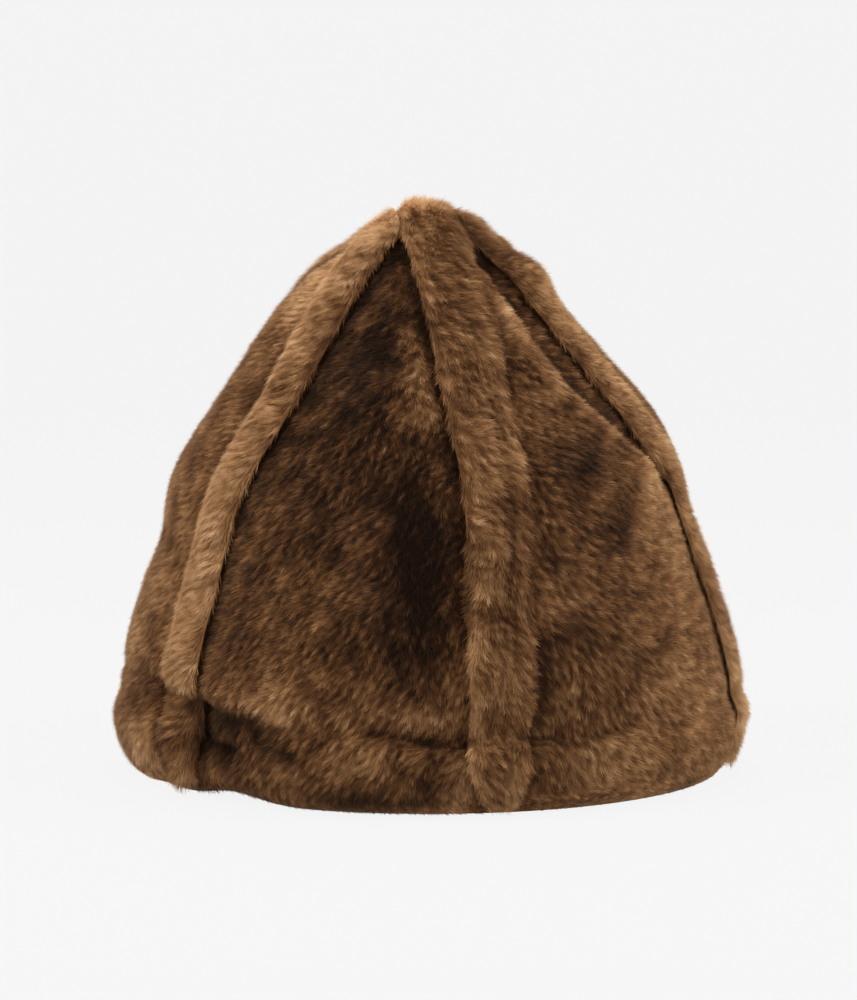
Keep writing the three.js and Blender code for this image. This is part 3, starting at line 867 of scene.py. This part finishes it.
strips = {
    "columns": 15,
    "rowStep": 1.8,  # millimetres
    "skinDepth": 1.9,
    "leastThick": 0.4,
    "sectionPower": 3,  # the power of the distance from the middle with which a strip gets thinner
    "edgeFan": 38,  # degrees that the pile turns outward at the edges
    "fanPower": 3,
    "crossing": 16,  # over the apex the lay turns round within this many millimetres
    "droop": 46,  # degrees that it droops over the edges
    "droopPower": 4,
    "edgeDensity": 0.5,  # how much denser it is there
    "densityPower": 8,
    "standing": 18,  # degrees that it stands up round the apex
    "standingReach": 12,
    "standingLonger": 0.15,
    "apexDip": 2.4,  # millimetres by which the pile over the apex is flattened
    "apexBlunt": 6,  # how much higher the section's power is there, which makes it squarer
    "apexReach": 12,
    # painted shade: a strip's underside is darker, as shade under it
    "undersideShadow": 0.15,  # how much darker its underside is, in tone
    # painted shade: a strip is darker towards its edges, where they roll down beside the seams
    "edgeShadow": 0.1,  # how much darker a strip's edge is, in tone
    "edgeShadowPower": 6,
    "behind": -0.2,  # places whose turn from a seam has a lower cosine are behind it
    "trialEnd": 0.995,  # where a short strip ends is looked for up to this share, in so many steps
    "trialSteps": 1200,
    "longSeed": 500,
    "shortSeeds": {"right": 520, "back_right": 540, "back_left": 560, "left": 580},
    "pileSeedStep": 300,
}


# Over and under points of a strip across a row: it fills the sunk seam, and its section falls with the cube
# of the distance from its middle to thin edges.
def stripPoints(angle, share, column):
    crest = form["stripCrest"] + seamSinking(angle, share)
    edge = form["underStrip"] + form["stripEdge"]
    atApex = np.exp(-((radiusAt(share) / strips["apexReach"]) ** 2))
    power = strips["sectionPower"] + strips["apexBlunt"] * atApex
    high = mix(crest, edge, np.abs(column) ** power) - strips["skinDepth"] - strips["apexDip"] * atApex
    over = outerPoint(angle, share, np.maximum(high, form["underStrip"] + strips["leastThick"]))
    return over, outerPoint(angle, share, form["underStrip"])


# A strip: a skin between its over and under points, with pile that fans out and droops towards its edges and
# stands up where the long strip turns over the apex. Column runs from -1 to 1 across it.
def makeStrip(name, angle, share, layTurn, seed):
    column = np.broadcast_to(np.linspace(-1, 1, strips["columns"]), angle.shape)
    over, under = stripPoints(angle, share, column)
    tone, turn = coatAt(name, angle, share, over, seed)
    out = np.abs(column)
    # painted shade towards the strip's edges
    tone = tone - strips["edgeShadow"] * out ** strips["edgeShadowPower"]
    turn += layTurn + strips["edgeFan"] * np.sign(column) * out ** strips["fanPower"]
    # the strip's underside gets painted shade
    piece = makeSkin(name, over, under, tone, tone - strips["undersideShadow"])
    finishPiece(piece)
    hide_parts(name)
    standing = np.exp(-((radiusAt(share) / strips["standingReach"]) ** 2))
    grid = {
        "points": over,
        "density": 1 + strips["edgeDensity"] * out ** strips["densityPower"],
        "tone": tone,
        "turn": turn,
        "rise": strips["standing"] * standing - strips["droop"] * out ** strips["droopPower"],
        "length": coats[name]["length"] * (1 + strips["standingLonger"] * standing),
    }
    growPile(name + "_pile", grid, seed + strips["pileSeedStep"])


# The long strip: up the front seam, over the apex and down the back one, column by column. The lay turns by
# half a turn over the apex, so that it points down on both sides.
def makeLongStrip():
    column = np.linspace(-1, 1, strips["columns"])
    footLength = np.interp(shareAtHeight(form["stripFoot"]), shares, outerLength)
    lengths = np.arange(footLength, outerLength[-1], strips["rowStep"])
    share = np.append(shareAtLength(lengths), 1.0)
    climbs = {}
    for name in ("front", "back"):
        climbs[name] = besideSeam(name, share[:, None], fullHalf(name, share)[:, None] * column)
    angle, spotShare = (np.vstack([climbs["front"][k], climbs["back"][k][-2::-1, ::-1]]) for k in range(2))
    middle = outerLength[-1]
    travelled = np.concatenate([lengths, [middle], 2 * middle - lengths[::-1]])[:, None]
    layTurn = 180 * smoothStep(travelled, middle - strips["crossing"], middle + strips["crossing"])
    makeStrip("strip_front_back", angle, spotShare, layTurn, strips["longSeed"])


# How far a place lies outside the long strip, across it, in millimetres.
def clearOfLongStrip(angle, share):
    clear = np.full(angle.shape, np.inf)
    for name in ("front", "back"):
        turned = turnBetween(seamAngle(name, share), angle)
        aside = np.abs(np.sin(turned)) * radiusAt(share)
        near = np.cos(turned) > strips["behind"]
        clear = np.where(near, np.minimum(clear, aside - fullHalf(name, share)), clear)
    return clear - form["pieceGap"]


# A short strip: each column climbs its seam and ends where it meets the long strip.
def makeShortStrip(seam, seed):
    column = np.linspace(-1, 1, strips["columns"])
    trial = np.linspace(shareAtHeight(form["stripFoot"]), strips["trialEnd"], strips["trialSteps"])
    half = fittedHalf(seam, trial)
    trialAngle, trialShare = besideSeam(seam, trial[:, None], half[:, None] * column)
    met = clearOfLongStrip(trialAngle, trialShare) <= 0
    met[-1] = True
    end = trial[np.argmax(met, axis=0)]
    footLength = np.interp(trial[0], shares, outerLength)
    endLength = np.interp(end, shares, outerLength)
    rows = int((endLength.max() - footLength) / strips["rowStep"])
    share = shareAtLength(footLength + (endLength - footLength) * np.linspace(0, 1, rows)[:, None])
    angle, spotShare = besideSeam(seam, share, fittedHalf(seam, share) * column)
    makeStrip(f"strip_{seam}", angle, spotShare, 0, seed)


for goreIndex in range(len(seamNames)):
    makeGore(goreIndex)
makeLongStrip()
for seamName, seamSeed in strips["shortSeeds"].items():
    makeShortStrip(seamName, seamSeed)


# A pale seamless studio floor that runs up behind, glowing a little so that it reads as even white card.
stage = {
    "colour": "f5f5f5", "glow": 0.967, "albedo": "2c2c2c",
    "reach": 3.2, "wall": 2.4, "bend": 0.9, "bendSteps": 25,  # metres, and steps round the bend
}


# A profile of floor, quarter circle and wall, drawn out to both sides.
def makeStage():
    steps = np.linspace(0, np.pi / 2, stage["bendSteps"])
    reach, bend = stage["reach"] / mm, stage["bend"] / mm
    curve = np.stack([reach - bend + bend * np.sin(steps), bend - bend * np.cos(steps)], axis=1)
    profile = np.vstack([[-reach, 0], curve, [reach, stage["wall"] / mm]])
    points = np.stack(np.broadcast_arrays([-reach, reach], profile[:, :1], profile[:, 1:]), axis=-1)
    grid = np.arange(len(profile) * 2).reshape(len(profile), 2)
    faces = np.stack([grid[:-1, 0], grid[:-1, 1], grid[1:, 1], grid[1:, 0]], axis=1)
    floor = meshFrom("studio_floor", points.reshape(-1, 3), faces)
    card = newMaterial("matt_card")
    surface = addNode(
        card, "ShaderNodeBsdfPrincipled",
        values={
            "Base Color": linear(stage["albedo"]), "Roughness": 1.0, "Specular IOR Level": 0.0,
            "Emission Color": linear(stage["colour"]), "Emission Strength": stage["glow"],
        },
    )
    addNode(card, "ShaderNodeOutputMaterial", links={"Surface": surface.outputs[0]})
    floor.data.materials.append(card)


# Softboxes: place and size in metres, power in watts. The two side ones stand a little behind the front.
softboxes = {
    "left_softbox": {"at": (-1.15, -0.45, 0.75), "size": 0.9, "power": 17, "colour": "fffaf2"},
    "right_softbox": {"at": (1.15, -0.25, 0.7), "size": 0.9, "power": 13, "colour": "fffaf2"},
    "top_softbox": {"at": (0.0, 0.1, 1.35), "size": 1.0, "power": 12, "colour": "ffffff"},
    "front_softbox": {"at": (0.25, -1.7, 0.55), "size": 1.2, "power": 6, "colour": "ffffff"},
}
room = {"colour": "f5f5f5", "strength": 0.35, "aimHeight": 0.1}


# Square lights that face the middle of the cap, in a pale room.
def makeLights():
    for name, box in softboxes.items():
        light = bpy.data.lights.new(name, "AREA")
        light.shape = "SQUARE"
        light.size = box["size"]
        light.energy = box["power"]
        light.color = linear(box["colour"])[:3]
        lamp = bpy.data.objects.new(name, light)
        lamp.location = box["at"]
        aim = Vector((0, 0, room["aimHeight"])) - lamp.location
        lamp.rotation_euler = aim.to_track_quat("-Z", "Y").to_euler()
        bpy.context.scene.collection.objects.link(lamp)
    world = bpy.data.worlds.new("studio_room")
    world.use_nodes = True
    background = world.node_tree.nodes["Background"]
    background.inputs["Color"].default_value = linear(room["colour"])
    background.inputs["Strength"].default_value = room["strength"]
    bpy.context.scene.world = world


# The photograph's view: 5 degrees above level, from 1.25 m, with the cap's middle a hair right of centre.
camera = {
    "distance": 1.25, "elevation": 5.0, "aside": -0.00056, "height": 0.099,
    "lens": 121.5, "sensor": 36, "clipStart": 0.05,
}


# The camera at its distance from the target, raised by the elevation.
def makeCamera():
    view = bpy.data.cameras.new("photo_view")
    view.sensor_fit = "VERTICAL"
    view.sensor_height = camera["sensor"]
    view.lens = camera["lens"]
    view.clip_start = camera["clipStart"]
    holder = bpy.data.objects.new("photo_view", view)
    rise = np.radians(camera["elevation"])
    target = Vector((camera["aside"], 0, camera["height"]))
    holder.location = target + Vector((0, -np.cos(rise), np.sin(rise))) * camera["distance"]
    holder.rotation_euler = (target - holder.location).to_track_quat("-Z", "Y").to_euler()
    bpy.context.scene.collection.objects.link(holder)
    bpy.context.scene.camera = holder


makeStage()
makeLights()
makeCamera()
bpy.context.scene.view_settings.view_transform = "Standard"
print("stage, lights and camera ready")
